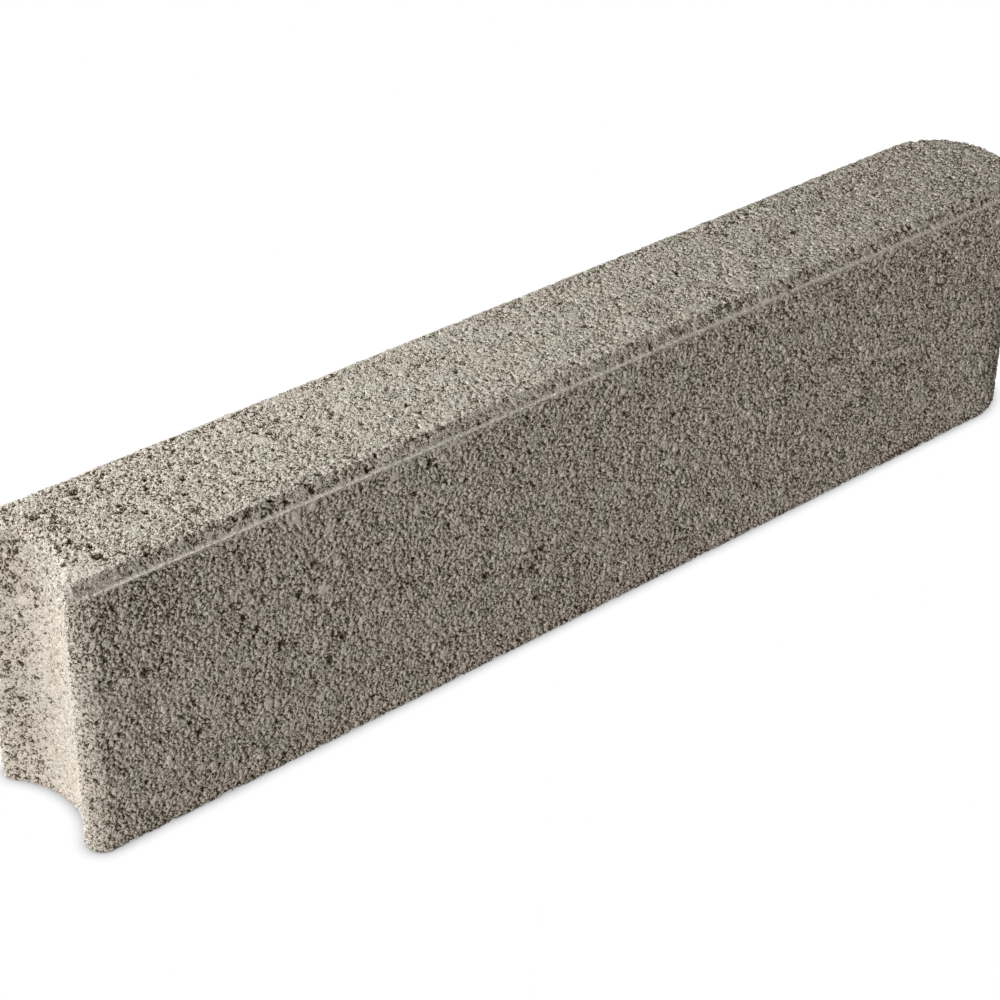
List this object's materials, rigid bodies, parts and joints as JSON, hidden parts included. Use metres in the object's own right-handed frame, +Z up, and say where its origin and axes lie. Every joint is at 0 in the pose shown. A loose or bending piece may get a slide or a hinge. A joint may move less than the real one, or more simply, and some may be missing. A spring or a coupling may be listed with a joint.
{
  "type": "concrete kerb stone",
  "caption": "Straight grey concrete kerb stone with chamfered top edges, a round nose at one end and a matching groove at the other, for edging paths and beds.",
  "frame": {"origin": "on the base, in the middle of the stone's box", "axes": "+X along the stone, from the groove to the nose; +Y across it; +Z up"},
  "size_m": [0.45, 0.06, 0.1],
  "materials": {
    "concrete": "rough, open-textured grey concrete, as pressed"
  },
  "bodies": {
    "root": {"kerb_stone": "concrete"}
  },
  "joints": []
}
